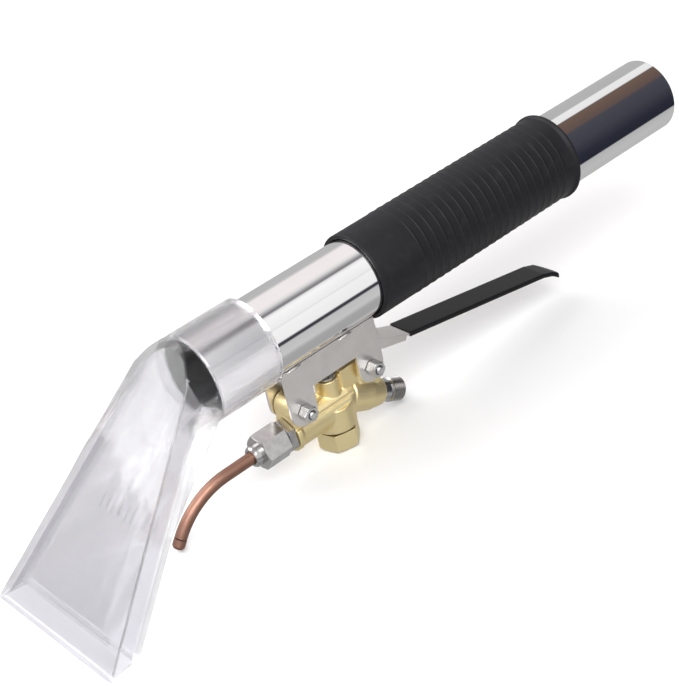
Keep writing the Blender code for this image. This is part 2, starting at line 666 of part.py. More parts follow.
def inlet_nipple():
    """The threaded hose nipple on the inlet, with its shank inside the body."""
    pitch = THREAD_LENGTH / NIPPLE_THREADS
    profile = [(NIPPLE_BORE + 0.0012, NIPPLE_LENGTH), (NIPPLE_RADIUS - 0.0004, NIPPLE_LENGTH)]
    for i in range(NIPPLE_THREADS):
        crest = NIPPLE_LENGTH - 0.0004 - pitch * (i + 0.3)
        profile += [(NIPPLE_RADIUS, crest), (NIPPLE_RADIUS - 0.0006, crest - pitch / 2)]
    profile += [(NIPPLE_RADIUS - 0.0006, GAP), (NIPPLE_SHANK, GAP), (NIPPLE_SHANK, -0.0078),
                (NIPPLE_BORE, -0.0078), (NIPPLE_BORE, NIPPLE_LENGTH - 0.0012)]
    return finished(turned("inlet_nipple", profile, INLET_END, INLET_DIR, 28), NICKEL)


# ---------------------------------------------------------------- outlet line

def fitting():
    """Connector, ferrule and nut that hold the copper tube to the valve."""
    start = Vector((0, BARREL_END - GAP, -BARREL_DROP))
    body = hexagon("fitting_body", FITTING_FLATS, start, FORWARD, FITTING_HEX, 0.3, radians(8))
    shank = rod("fitting_shank", FITTING_SHANK, start + FORWARD * 0.001, -FORWARD, 0.0085, 24)
    neck = rod("fitting_neck", FITTING_NECK, start + FORWARD * (FITTING_HEX - 0.001), FORWARD,
               NECK_LENGTH + 0.001, 24)
    add(body, shank, neck)
    neck_end = FITTING_HEX + NECK_LENGTH
    tube_start = FITTING_HEX + TUBE_STOP
    cut(body, rod("fitting_way", COPPER_BORE, start - FORWARD * 0.02, FORWARD, 0.04, 20),
        rod("fitting_socket", COPPER_RADIUS + GAP, start + FORWARD * tube_start, FORWARD, 0.02, 20))
    nut_start = FITTING_HEX + GAP
    nut_end = nut_start + NUT_LENGTH
    ferrule_end = neck_end + GAP + FERRULE_LENGTH
    nut_piece = hexagon("fitting_nut", FITTING_FLATS, start + FORWARD * nut_start, FORWARD,
                        NUT_LENGTH, 0.3, radians(24))
    nose = turned("nut_nose", [(0, NOSE_LENGTH), (NOSE_RADIUS - 0.0007, NOSE_LENGTH),
                               (NOSE_RADIUS, NOSE_LENGTH - 0.001), (NOSE_RADIUS, -0.002), (0, -0.002)],
                  start + FORWARD * nut_end, FORWARD, 24, loop=False)
    add(nut_piece, nose)
    cut(nut_piece,
        rod("nut_thread", FITTING_NECK + GAP, start, FORWARD, neck_end + GAP, 24),
        rod("nut_seat", FERRULE_RADIUS + GAP, start, FORWARD, ferrule_end + GAP, 24),
        rod("nut_way", COPPER_RADIUS + GAP, start, FORWARD, nut_end + NOSE_LENGTH + CUT, 20))
    sleeve = [(FERRULE_RADIUS - 0.0008, ferrule_end), (FERRULE_RADIUS, ferrule_end - 0.0008),
              (FERRULE_RADIUS, ferrule_end - 0.0014), (FERRULE_RADIUS - 0.0009, neck_end + GAP),
              (COPPER_RADIUS + GAP, neck_end + GAP), (COPPER_RADIUS + GAP, ferrule_end)]
    ferrule = turned("ferrule", sleeve, start, FORWARD, 24)
    return [finished(body, NICKEL), finished(nut_piece, NICKEL), finished(ferrule, BRASS)], tube_start


def bend_point(run):
    """A point along the copper tube and its direction there."""
    if run <= COPPER_STRAIGHT:
        return COPPER_ORIGIN + FORWARD * run, FORWARD
    angle = (run - COPPER_STRAIGHT) / COPPER_BEND
    corner = COPPER_ORIGIN + FORWARD * COPPER_STRAIGHT
    point = corner + Vector((0, -COPPER_BEND * sin(angle), -COPPER_BEND * (1 - cos(angle))))
    return point, Vector((0, -cos(angle), -sin(angle)))


def copper_tube(length):
    """A bent tube: a round bar with a slightly longer round bar taken out of it."""
    def bar(name, radius, start, end):
        curve = bpy.data.curves.new(name, "CURVE")
        curve.dimensions = "3D"
        curve.bevel_depth = radius
        curve.bevel_resolution = 4
        curve.use_fill_caps = True
        count = 24
        line = curve.splines.new("POLY")
        line.points.add(count - 1)
        for i, point in enumerate(line.points):
            point.co = (*bend_point(start + (end - start) * i / (count - 1))[0], 1)
        return as_mesh(bpy.data.objects.new(name, curve))
    tube = bar("copper_tube", COPPER_RADIUS, 0, length)
    cut(tube, bar("copper_bore", COPPER_BORE, -CUT, length + CUT))
    return finished(tube, COPPER)


def spray_jet(start):
    """A short spray tip, its shank inside the copper tube's end."""
    point, direction = bend_point(start + GAP)
    shank = 0.003
    profile = [(JET_BORE, JET_LENGTH), (COPPER_RADIUS - 0.0008, JET_LENGTH),
               (COPPER_RADIUS, JET_LENGTH - 0.0012), (COPPER_RADIUS, 0),
               (COPPER_BORE - 0.0006, 0), (COPPER_BORE - 0.0006, -shank), (JET_BORE, -shank)]
    return finished(turned("spray_jet", profile, point, direction, 24), NICKEL)


# ---------------------------------------------------------------- lever

def lever_top():
    """The lever's top line from its nose back to its tip, as (y, z) points."""
    nose = VALVE_Y - LEVER_NOSE
    start = PIVOT.y + COATING_START
    start_z = -LEVER_DROP - LEVER_STEP
    end = PIVOT.y + LEVER_REACH
    end_z = start_z - (end - start) * tan(LEVER_SLOPE)
    half = TIP_LENGTH / 2
    middle = (end + half * cos(TIP_SLOPE * 0.7), end_z - half * sin(TIP_SLOPE * 0.7))
    tip = (middle[0] + half * cos(TIP_SLOPE * 1.3), middle[1] - half * sin(TIP_SLOPE * 1.3))
    return [(nose, -LEVER_DROP), (PIVOT.y + 0.0050, -LEVER_DROP), (PIVOT.y + 0.0130, -LEVER_DROP - 0.0036),
            (start, start_z), (end, end_z), middle, tip]


def lowered(points, drop):
    """The same line moved square to itself by a drop."""
    moved = []
    for i, (y, z) in enumerate(points):
        y0, z0 = points[max(i - 1, 0)]
        y1, z1 = points[min(i + 1, len(points) - 1)]
        length = sqrt((y1 - y0) ** 2 + (z1 - z0) ** 2)
        moved.append((y + (z1 - z0) / length * drop, z - (y1 - y0) / length * drop))
    return moved


def carried_on(points, first, last):
    """The same line made longer at its two ends."""
    made = list(points)
    for end, beside, by in ((0, 1, first), (-1, -2, last)):
        y, z = points[end]
        away = Vector((y - points[beside][0], z - points[beside][1])).normalized() * by
        made[end] = (y + away.x, z + away.y)
    return made


def round_end(name, piece, tip_y, radius):
    """Rounds a strip's end, seen from above."""
    keep = rod(name, radius, (0, tip_y - radius, -0.2), UP, 0.2, 48)
    rest = slab(name + "_rest", [(tip_y - 0.3, -0.2), (tip_y - radius, -0.2), (tip_y - radius, 0),
                                 (tip_y - 0.3, 0)], -radius, radius)
    return join_shape(piece, as_mesh(add(keep, rest)), "INTERSECT")


def lever():
    """A strip with ears folded down onto the pivot bolt, and the coating on its handle."""
    top = lever_top()
    ear = 0.0050
    channel = PIVOT.y + CHANNEL_END
    share = (channel - top[2][0]) / (top[3][0] - top[2][0])
    channel_z = top[2][1] + (top[3][1] - top[2][1]) * share
    flange = lowered(top[:3] + [(channel, channel_z)], LEVER_FLANGE)
    strip = lowered(top, LEVER_SHEET)
    ears = [flange[0], (PIVOT.y - ear, flange[1][1])]
    ears += arc((PIVOT.y, PIVOT.z), ear, pi, 2 * pi, 13)
    ears += [(PIVOT.y + ear, flange[2][1]), (channel - 0.0012, flange[3][1]),
             (channel, channel_z - LEVER_SHEET)] + strip[3:]
    arm = slab("lever_arm", top + ears[::-1], -LEVER_HALF, LEVER_HALF)
    under = carried_on(strip[:3] + [(channel, channel_z - LEVER_SHEET * 1.02)], CUT, CUT)
    inside = LEVER_HALF - LEVER_SHEET
    room_bottom = -BARREL_DROP - BARREL_RADIUS
    hollow = slab("lever_hollow", under + [(under[-1][0], room_bottom), (under[0][0], room_bottom)],
                  -inside, inside)
    hole = rod("lever_hole", BOLT_RADIUS + GAP, PIVOT - Vector((0.02, 0, 0)), (1, 0, 0), 0.04, 20)
    cut(arm, hollow, hole)
    arm = as_mesh(arm)
    round_end("strip_round", arm, top[-1][0], TIP_ROUND)
    handle = top[3:]
    shell = GAP + COATING
    outer = carried_on(lowered(handle, -shell), 0, shell)
    lower = carried_on(lowered(handle, LEVER_SHEET + shell), 0, shell)
    width = LEVER_HALF + shell
    coat = slab("lever_grip", outer + lower[::-1], -width, width)
    round_end("coat_round", coat, top[-1][0] + shell, TIP_ROUND + shell)
    coat = as_mesh(coat)
    room = carried_on(lowered(handle, -GAP), CUT, GAP)
    room_low = carried_on(lowered(handle, LEVER_SHEET + GAP), CUT, GAP)
    space = slab("coat_room", room + room_low[::-1], -LEVER_HALF - GAP, LEVER_HALF + GAP)
    round_end("room_round", space, top[-1][0] + GAP, TIP_ROUND + GAP)
    cut(coat, as_mesh(space))
    return [finished(arm, SATIN), finished(coat, VINYL)]


# ---------------------------------------------------------------- build

clear_scene()
WAND = new_collection("extraction_wand")
CUTTERS = new_collection("cutters")
SHOP = new_collection("shop")
CUTTERS.hide_render = True

STEEL = material("polished_steel", (0.72, 0.72, 0.73), 0.12, 1.0)
SATIN = material("satin_steel", (0.60, 0.59, 0.58), 0.35, 1.0)
ZINC = material("zinc_plate", (0.66, 0.66, 0.66), 0.28, 1.0)
NICKEL = material("nickel_plate", (0.70, 0.69, 0.67), 0.22, 1.0)
BRASS = material("cast_brass", (0.72, 0.58, 0.32), 0.42, 1.0)
COPPER = material("copper", (0.72, 0.42, 0.30), 0.30, 1.0)
RUBBER = material("black_rubber", (0.022, 0.023, 0.026), 0.60)
VINYL = material("black_vinyl", (0.012, 0.012, 0.013), 0.42)
SEAL = material("seal_rubber", (0.02, 0.02, 0.02), 0.55)
CLEAR = material("clear_plastic", (0.92, 0.91, 0.95), 0.06, 0.0, 0.9)

suction_tube()
grip_sleeve()
clear_head()
bracket_plate("bracket_plate_right", 1)
bracket_plate("bracket_plate_left", -1)
weld_beads()
bolt("front_bolt", FRONT_BOLT)
bolt("pivot_bolt", PIVOT)
nut("front_nut", FRONT_BOLT)
nut("pivot_nut", PIVOT)
valve_body()
valve_insides()
valve_cap()
inlet_nipple()
fitting_pieces, tube_inside = fitting()
COPPER_ORIGIN = Vector((0, BARREL_END - GAP - tube_inside - GAP, -BARREL_DROP))
copper_length = COPPER_STRAIGHT + COPPER_BEND * COPPER_TURN - JET_LENGTH
copper_tube(copper_length)
spray_jet(copper_length)
lever()
bpy.data.collections.remove(SHOP)
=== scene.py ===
from math import cos, pi, radians, sin

import bmesh
import bpy
from mathutils import Matrix, Vector


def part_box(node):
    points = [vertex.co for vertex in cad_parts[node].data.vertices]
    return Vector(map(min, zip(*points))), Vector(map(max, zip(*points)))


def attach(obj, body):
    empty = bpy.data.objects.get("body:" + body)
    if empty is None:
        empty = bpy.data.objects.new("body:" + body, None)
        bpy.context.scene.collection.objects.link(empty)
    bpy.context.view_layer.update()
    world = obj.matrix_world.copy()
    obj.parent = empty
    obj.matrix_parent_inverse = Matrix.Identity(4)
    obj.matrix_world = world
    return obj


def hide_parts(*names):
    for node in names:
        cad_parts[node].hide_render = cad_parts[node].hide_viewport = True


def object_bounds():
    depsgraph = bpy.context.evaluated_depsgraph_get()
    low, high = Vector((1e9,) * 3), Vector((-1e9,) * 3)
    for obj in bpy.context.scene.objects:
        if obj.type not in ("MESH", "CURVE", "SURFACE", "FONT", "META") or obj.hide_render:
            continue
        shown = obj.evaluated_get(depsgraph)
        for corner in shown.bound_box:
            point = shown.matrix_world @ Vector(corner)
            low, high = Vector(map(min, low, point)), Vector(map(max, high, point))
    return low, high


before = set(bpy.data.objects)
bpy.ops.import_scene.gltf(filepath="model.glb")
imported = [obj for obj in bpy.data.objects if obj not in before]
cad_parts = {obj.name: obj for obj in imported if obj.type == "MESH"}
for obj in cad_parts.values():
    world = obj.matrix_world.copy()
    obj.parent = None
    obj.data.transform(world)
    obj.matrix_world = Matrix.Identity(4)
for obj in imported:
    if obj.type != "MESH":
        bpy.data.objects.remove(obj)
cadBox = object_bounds()
print("frame loaded:", len(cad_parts), "nodes")

forward = Vector((0, -1, 0))        # from the hose end towards the head
faceAngle = radians(45.2)           # how far the clear head's broad face leans


# a socket that can be used in sums
class Wire:
    def __init__(self, tree, socket):
        self.tree, self.socket = tree, socket

    def sum(self, operation, *values):
        node = self.tree.nodes.new("ShaderNodeMath")
        node.operation = operation
        for place, value in zip(node.inputs, values):
            feed(self.tree, place, value)
        return Wire(self.tree, node.outputs[0])

    def __add__(self, other):
        return self.sum("ADD", self, other)

    def __radd__(self, other):
        return self.sum("ADD", other, self)

    def __sub__(self, other):
        return self.sum("SUBTRACT", self, other)

    def __rsub__(self, other):
        return self.sum("SUBTRACT", other, self)

    def __mul__(self, other):
        return self.sum("MULTIPLY", self, other)

    def __truediv__(self, other):
        return self.sum("DIVIDE", self, other)

    def __pow__(self, other):
        return self.sum("POWER", self, other)


def feed(tree, place, value):
    if isinstance(value, Wire):
        tree.links.new(value.socket, place)
    elif isinstance(value, tuple) and len(value) == 3 and place.type == "RGBA":
        place.default_value = (*value, 1)
    else:
        place.default_value = value


# one material, or the world, and the nodes that feed it
class Finish:
    def __init__(self, holder, shader):
        holder.use_nodes = True
        self.holder, self.tree = holder, holder.node_tree
        self.shader = self.tree.nodes[shader]

    def node(self, kind, settings=None, sockets=None, output=0):
        node = self.tree.nodes.new("ShaderNode" + kind)
        for name, value in (settings or {}).items():
            if name == "stops":
                spare = node.color_ramp.elements
                while len(spare) < len(value):
                    spare.new(0.5)
                for stop, (place, colour) in zip(spare, value):
                    stop.position = place
                    stop.color = (*colour, 1) if isinstance(colour, tuple) else (colour, colour, colour, 1)
            else:
                setattr(node, name, value)
        for name, value in (sockets or {}).items():
            feed(self.tree, node.inputs[name], value)
        return Wire(self.tree, node.outputs[output])

    def place(self, stretch):
        where = self.node("TexCoord", output="Object")
        return self.node("Mapping", None, {"Vector": where, "Scale": stretch})

    def axes(self, space="Object"):
        split = self.node("SeparateXYZ", None, {"Vector": self.node("TexCoord", output=space)})
        return [Wire(self.tree, out) for out in split.socket.node.outputs]

    def grain(self, scale, detail=3.0, rough=0.55, stretch=(1, 1, 1)):
        return self.node("TexNoise", None, {"Vector": self.place(stretch), "Scale": scale,
                                            "Detail": detail, "Roughness": rough})

    def patches(self, scale):
        return self.stepped(self.grain(scale, 4.0), 0.35, 0.70)

    def mixed(self, share, first, second):
        return self.node("Mix", {"data_type": "RGBA"}, {0: share, 6: first, 7: second}, output=2)

    def stepped(self, value, low, high):
        return self.node("MapRange", None, {"Value": value, "From Min": low, "From Max": high})

    def bump(self, height, distance, strength):
        return self.node("Bump", None, {"Height": height, "Distance": distance, "Strength": strength})

    def set(self, **sockets):
        names = {"colour": "Base Color", "rough": "Roughness", "metal": "Metallic", "normal": "Normal",
                 "clear": "Transmission Weight", "ior": "IOR", "alpha": "Alpha",
                 "specular": "Specular IOR Level"}
        for name, value in sockets.items():
            feed(self.tree, self.shader.inputs[names[name]], value)
        return self.holder


def newFinish(name):
    return Finish(bpy.data.materials.new(name), "Principled BSDF")


# a metal with patches of tarnish, fine grain and a soft change of gloss
def metalFinish(name, look):
    made = newFinish(name)
    patches = made.patches(look["patchScale"])
    fine = made.grain(look["grainScale"], 3.0, 0.6, look.get("grainStretch", (1, 1, 1)))
    colour = made.mixed(patches * look["patchShare"], look["colour"], look["patchColour"])
    gloss = look["rough"] + (fine - 0.5) * look["roughSpread"] + patches * look["patchRough"]
    return made.set(colour=colour, metal=1.0, rough=gloss,
                    normal=made.bump(fine, look["grainDepth"], look.get("grainStrength", 0.5)))


# rubber or dipped vinyl with a fine skin and a little dust on it
def darkFinish(name, look):
    dustRough = 0.08
    made = newFinish(name)
    skin = made.grain(look["skinScale"], 3.0, 0.6)
    dust = made.stepped(made.grain(look["dustScale"], 5.0, 0.65), 0.50, 0.80)
    colour = made.mixed(dust * look["dustShare"], look["colour"], look["dustColour"])
    gloss = look["rough"] + (skin - 0.5) * look["roughSpread"] + dust * dustRough
    return made.set(colour=colour, rough=gloss, specular=look["shine"],
                    normal=made.bump(skin, look["skinDepth"], look["skinStrength"]))


# clear moulding: a faint real tint, deepened into painted shade on the fan walls, kept lighter on the socket
# and nearly plain on the rear wall, and a frosted rim at the mouth
def clearFinish(look):
    made = newFinish("clearPlastic")
    across, along, height = made.axes()
    ahead = (along - look["faceY"]) * -sin(faceAngle) + height * cos(faceAngle)
    depth = look["faceOut"] - ahead
    rearWall = made.stepped(depth, look["rearFrom"], look["rearTo"])
    socket = made.stepped(along, look["socketFrom"], look["socketTo"])
    rim = made.stepped(height, look["rimHigh"], look["rimLow"])
    # a faint raised ring where the bore meets the rear wall, its darker tint a painted shade line
    radial = (across * across + height * height) ** 0.5
    ringStart, ringWidth = look["ring"], look["ringWidth"]
    ring = made.stepped(radial, ringStart, ringStart + ringWidth / 3)
    ring = ring - made.stepped(radial, ringStart + ringWidth * 0.6, ringStart + ringWidth)
    ring = ring * rearWall * (1 - socket)
    scuffs = made.grain(look["scuffScale"], 5.0, 0.7, (1, 0.12, 1))
    scuffs = made.stepped(scuffs, look["scuffFrom"], look["scuffTo"])
    flow = made.grain(look["flowScale"], 2.0, 0.5, (1, 0.35, 0.35))
    # the wall tints differ by region as painted shade: darker on the fan walls, lighter on the rear wall and
    # socket
    walls = made.mixed(rearWall, look["wallShadeTint"], look["rearShadeTint"])
    # the ring's darker tint is a painted shade line
    walls = made.mixed(ring, walls, look["ringShadeTint"])
    gloss = look["rough"] + scuffs * look["scuff"] + rim * look["rimRough"]
    relief = flow + ring * look["ringHeight"]
    return made.set(colour=made.mixed(socket, walls, look["socketShadeTint"]), clear=1.0, ior=look["ior"],
                    rough=gloss, alpha=look["alpha"],
                    normal=made.bump(relief, look["flowDepth"], look["flowStrength"]))


# polished outside, and dull down the bore, where its near-black colour is painted shade
def tubeFinish(look):
    made = newFinish("polishedSteel")
    across, along, height = made.axes()
    radial = (across * across + height * height) ** 0.5
    outside = made.stepped(radial, look["boreRadius"], look["boreRadius"] + look["boreBlend"])
    patches = made.patches(look["patchScale"])
    fine = made.grain(look["grainScale"], 3.0, 0.6, look["grainStretch"])
    skin = made.mixed(patches * look["patchShare"], look["colour"], look["patchColour"])
    gloss = look["rough"] + (fine - 0.5) * look["roughSpread"] + (1 - outside) * look["boreRough"]
    # the bore's near-black colour is painted shade, not the steel's own colour
    return made.set(colour=made.mixed(outside, look["boreShade"], skin), metal=1.0, rough=gloss,
                    normal=made.bump(fine, look["grainDepth"], look["grainStrength"]))


finishes = {
    "tube_steel": tubeFinish({
        "colour": (0.90, 0.89, 0.89), "patchColour": (0.84, 0.83, 0.84), "patchShare": 0.4,
        "patchScale": 35, "rough": 0.06, "roughSpread": 0.05,
        "grainScale": 90, "grainStretch": (1, 26, 1), "grainDepth": 0.00002, "grainStrength": 0.2,
        # boreShade is painted shade down the inside of the tube
        "boreRadius": 0.0182, "boreBlend": 0.0004, "boreShade": (0.10, 0.10, 0.105),
        "boreRough": 0.42}),
    "plate_steel": metalFinish("satinSteel", {
        "colour": (0.88, 0.845, 0.82), "patchColour": (0.76, 0.72, 0.69), "patchShare": 0.5,
        "patchScale": 110, "patchRough": 0.06, "rough": 0.30, "roughSpread": 0.16,
        "grainScale": 180, "grainStretch": (1, 14, 1), "grainDepth": 0.00005}),
    "zinc": metalFinish("zincPlate", {
        "colour": (0.70, 0.70, 0.69), "patchColour": (0.52, 0.52, 0.53), "patchShare": 0.6,
        "patchScale": 320, "patchRough": 0.08, "rough": 0.24, "roughSpread": 0.14,
        "grainScale": 1500, "grainDepth": 0.00004}),
    "nickel": metalFinish("nickelPlate", {
        "colour": (0.56, 0.55, 0.545), "patchColour": (0.42, 0.41, 0.405), "patchShare": 0.5,
        "patchScale": 260, "patchRough": 0.05, "rough": 0.22, "roughSpread": 0.12,
        "grainScale": 1400, "grainDepth": 0.00002}),
    "cast_brass": metalFinish("blastedBrass", {
        "colour": (1.0, 0.85, 0.48), "patchColour": (0.95, 0.77, 0.42), "patchShare": 0.55,
        "patchScale": 150, "patchRough": 0.05, "rough": 0.42, "roughSpread": 0.14,
        "grainScale": 2600, "grainDepth": 0.00008, "grainStrength": 0.7}),
    "copper": metalFinish("drawnCopper", {
        "colour": (0.36, 0.20, 0.145), "patchColour": (0.26, 0.14, 0.105), "patchShare": 0.6,
        "patchScale": 130, "patchRough": 0.10, "rough": 0.38, "roughSpread": 0.12,
        "grainScale": 900, "grainDepth": 0.00003}),
    "grip_rubber": darkFinish("gripRubber", {
        "colour": (0.010, 0.010, 0.012), "dustColour": (0.024, 0.024, 0.028), "dustShare": 0.5,
        "dustScale": 160, "rough": 0.46, "roughSpread": 0.10, "shine": 0.22,
        "skinScale": 2400, "skinDepth": 0.00006, "skinStrength": 0.5}),
    "black_vinyl": darkFinish("dippedVinyl", {
        "colour": (0.006, 0.006, 0.007), "dustColour": (0.016, 0.016, 0.018), "dustShare": 0.3,
        "dustScale": 220, "rough": 0.36, "roughSpread": 0.10, "shine": 0.25,
        "skinScale": 1100, "skinDepth": 0.00008, "skinStrength": 0.4}),
    "seal_rubber": darkFinish("sealRubber", {
        "colour": (0.015, 0.015, 0.015), "dustColour": (0.04, 0.04, 0.04), "dustShare": 0.4,
        "dustScale": 500, "rough": 0.55, "roughSpread": 0.10, "shine": 0.4,
        "skinScale": 2400, "skinDepth": 0.00005, "skinStrength": 0.4}),
    "clear_plastic": clearFinish({
        "faceY": -0.301, "faceOut": 0.0179, "rearFrom": 0.0090, "rearTo": 0.0105,
        "socketFrom": -0.318, "socketTo": -0.302, "rimHigh": -0.0742, "rimLow": -0.0749,
        # the wall, rear and socket tints carry painted shade that differs by region of the head
        "wallShadeTint": (0.50, 0.495, 0.53), "rearShadeTint": (0.95, 0.95, 0.96),
        # ringShadeTint paints a dark shade line at the edge of the bore
        "socketShadeTint": (0.83, 0.83, 0.85), "ringShadeTint": (0.62, 0.62, 0.66),
        "ring": 0.0176, "ringWidth": 0.0014, "ringHeight": 1.5,
        "ior": 1.32, "rough": 0.015, "scuff": 0.07, "rimRough": 0.45, "alpha": 0.72,
        "scuffScale": 900, "scuffFrom": 0.58, "scuffTo": 0.74,
        "flowScale": 55, "flowDepth": 0.0005, "flowStrength": 0.35}),
}
print("finishes made:", len(finishes))


def facing(origin, direction):
    turn = Vector(direction).to_track_quat("Z", "Y").to_matrix().to_4x4()
    return Matrix.Translation(origin) @ turn


def meshOf(name, form):
    mesh = bpy.data.meshes.new(name)
    form.to_mesh(mesh)
    form.free()
    return mesh


def linked(name, data):
    made = bpy.data.objects.new(name, data)
    bpy.context.scene.collection.objects.link(made)
    return made


def tidyForm(form):
    bmesh.ops.remove_doubles(form, verts=form.verts, dist=1e-7)
    bmesh.ops.recalc_face_normals(form, faces=form.faces)


# spins a closed outline of (radius, height, optional fillet) points round an axis
def turnedForm(profile, origin, axis, steps):
    form = bmesh.new()
    points = [form.verts.new((p[0], 0, p[1])) for p in profile]
    for pair in zip(points, points[1:]):
        form.edges.new(pair)
    form.edges.new((points[-1], points[0]))
    fillets = {}
    for point, p in zip(points, profile):
        if len(p) > 2:
            fillets.setdefault(p[2], []).append(point)
    for size, corners in fillets.items():
        bmesh.ops.bevel(form, geom=corners, offset=size, offset_type="OFFSET", affect="VERTICES",
                        segments=3, profile=0.5, material=-1)
    bmesh.ops.spin(form, geom=form.verts[:] + form.edges[:], cent=(0, 0, 0), axis=(0, 0, 1),
                   angle=2 * pi, steps=steps, use_merge=True)
    tidyForm(form)
    form.transform(facing(origin, axis))
    return form


# a merged copy of a CAD node, its flat faces made whole again
def copyForm(node):
    form = bmesh.new()
    form.from_mesh(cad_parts[node].data)
    tidyForm(form)
    bmesh.ops.dissolve_limit(form, angle_limit=radians(0.8), verts=form.verts, edges=form.edges)
    return form


# the edges whose two faces meet at more than an angle in degrees
def sharpEdges(form, angle):
    return [e for e in form.edges if len(e.link_faces) == 2 and e.calc_face_angle() > radians(angle)]


def roundEdges(form, edges, width, segments):
    bmesh.ops.bevel(form, geom=edges, offset=width, offset_type="OFFSET", affect="EDGES",
                    segments=segments, profile=0.5, material=-1, clamp_overlap=True)


def soften(form, width, angle, segments=2):
    roundEdges(form, sharpEdges(form, angle), width, segments)
    return form


# keeps flat faces flat beside their rounded edges
def evenShading(piece):
    even = piece.modifiers.new("even", "WEIGHTED_NORMAL")
    even.mode = "FACE_AREA"
    even.weight = 90
    even.keep_sharp = True


def newPiece(name, form, body, slotName, *nodes, sharp=38, even=True):
    mesh = meshOf(name, form)
    piece = linked(name, mesh)
    mesh.materials.append(finishes[slotName])
    mesh.shade_smooth()
    mesh.set_sharp_from_angle(angle=radians(sharp))
    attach(piece, body)
    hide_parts(*nodes)
    if even:
        evenShading(piece)
    return piece


# casts a form again as one skin, and smooths it
def remade(form, voxel, passes):
    work = linked("casting", meshOf("casting", form))
    remesh = work.modifiers.new("remesh", "REMESH")
    remesh.mode = "VOXEL"
    remesh.voxel_size = voxel
    smooth = work.modifiers.new("smooth", "SMOOTH")
    smooth.factor = 0.5
    smooth.iterations = passes
    bpy.context.view_layer.update()
    done = bpy.data.meshes.new_from_object(work.evaluated_get(bpy.context.evaluated_depsgraph_get()))
    made = bmesh.new()
    made.from_mesh(done)
    bpy.data.objects.remove(work)
    return made


tube = {"wall": 0.0012, "edge": 0.00035, "steps": 160}
tubeLow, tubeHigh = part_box("suction_tube")
tubeRadius = tubeHigh.x
tubeBore = tubeRadius - tube["wall"]
tubeLength = tubeHigh.y - tubeLow.y
tubeCorners = [(tubeRadius, tubeLength), (tubeRadius, 0), (tubeBore, 0), (tubeBore, tubeLength)]
tubeProfile = [(radius, height, tube["edge"]) for radius, height in tubeCorners]
newPiece("tubeShell", turnedForm(tubeProfile, (0, 0, 0), forward, tube["steps"]),
         "wand", "tube_steel", "suction_tube")

grip = {"gap": 0.0003, "lip": 0.0011, "lipWidth": 0.0015, "ridges": 20, "pitch": 0.0050,
        "firstShare": 0.72, "ridgeHeight": 0.00025, "ridgeHalf": 0.00055, "steps": 128,
        "fineEdge": 0.0002, "crestEdge": 0.00015, "frontEdge": 0.0006, "lipEdge": 0.0004,
        "rearEdge": 0.0005, "boreEdge": 0.0003}
gripLow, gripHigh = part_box("grip_sleeve")
gripLength = gripHigh.y - gripLow.y
gripLipRadius = gripHigh.x
gripRadius = gripLipRadius - grip["lip"]
gripBore = tubeRadius + grip["gap"]
gripProfile = [(gripBore, gripLength, grip["fineEdge"]), (gripRadius, gripLength, grip["frontEdge"])]
ridgeSpan = grip["pitch"] * (grip["ridges"] - 1)
firstRidge = gripLength - (gripLength - ridgeSpan) * grip["firstShare"]
for i in range(grip["ridges"]):
    ridgeAt = firstRidge - i * grip["pitch"]
    gripProfile += [(gripRadius, ridgeAt + grip["ridgeHalf"], grip["fineEdge"]),
                    (gripRadius + grip["ridgeHeight"], ridgeAt, grip["crestEdge"]),
                    (gripRadius, ridgeAt - grip["ridgeHalf"], grip["fineEdge"])]
gripProfile += [(gripRadius, grip["lipWidth"] + grip["lip"], grip["lipEdge"]),
                (gripLipRadius, grip["lipWidth"], grip["lipEdge"]),
                (gripLipRadius, 0, grip["rearEdge"]), (gripBore, 0, grip["boreEdge"])]
newPiece("gripSleeve", turnedForm(gripProfile, (0, gripHigh.y, 0), forward, grip["steps"]),
         "wand", "grip_rubber", "grip_sleeve", even=False)
print("tube and grip made")


head = {"edge": 0.0004, "edgeAngle": 35, "rim": 0.0007, "rimBand": 0.0001,
        "brow": 0.0030, "browAngle": 12, "browFloor": -0.012, "socketGap": 0.0015}
headForm = copyForm("clear_head")
faceNormal = Vector((0, -sin(faceAngle), cos(faceAngle)))
# the brow is the border of the broad face, apart from where it meets the socket
brow = []
for edge in sharpEdges(headForm, head["browAngle"]):
    onFace = [f for f in edge.link_faces if f.normal.dot(faceNormal) > 0.999]
    middle = (edge.verts[0].co + edge.verts[1].co) / 2
    pastSocket = Vector((middle.x, middle.z)).length > tubeRadius + head["socketGap"]
    if len(onFace) == 1 and middle.z > head["browFloor"] and pastSocket:
        brow.append(edge)
roundEdges(headForm, brow, head["brow"], 5)
rimTop = cadBox[0][2] + head["rimBand"]
rim = [e for e in sharpEdges(headForm, head["edgeAngle"]) if max(v.co.z for v in e.verts) < rimTop]
roundEdges(headForm, rim, head["rim"], 3)
clearHead = newPiece("clearHead", soften(headForm, head["edge"], head["edgeAngle"], 3),
                     "wand", "clear_plastic", "clear_head", sharp=50)
clearHead.visible_shadow = False
print("clear head made, brow and rim edges:", len(brow), len(rim))


bracket = {"plateEdge": 0.00022, "nutEdge": 0.00015, "boltEdge": 0.0002}
for hand in ("right", "left"):
    plateNode = "bracket_plate_" + hand
    newPiece("bracketPlate." + hand, soften(copyForm(plateNode), bracket["plateEdge"], 50),
             "wand", "plate_steel", plateNode)
    for end in ("front", "rear"):
        beadNode = "weld_bead_%s_%s" % (end, hand)
        newPiece("weldBead.%s.%s" % (end, hand), copyForm(beadNode), "wand", "plate_steel", beadNode)

for end in ("front", "pivot"):
    nutNode = end + "_nut"
    boltNode = end + "_bolt"
    newPiece(end + "Nut", soften(copyForm(nutNode), bracket["nutEdge"], 30), "wand", "zinc", nutNode)
    newPiece(end + "Bolt", soften(copyForm(boltNode), bracket["boltEdge"], 30), "wand", "zinc", boltNode)
print("bracket made")


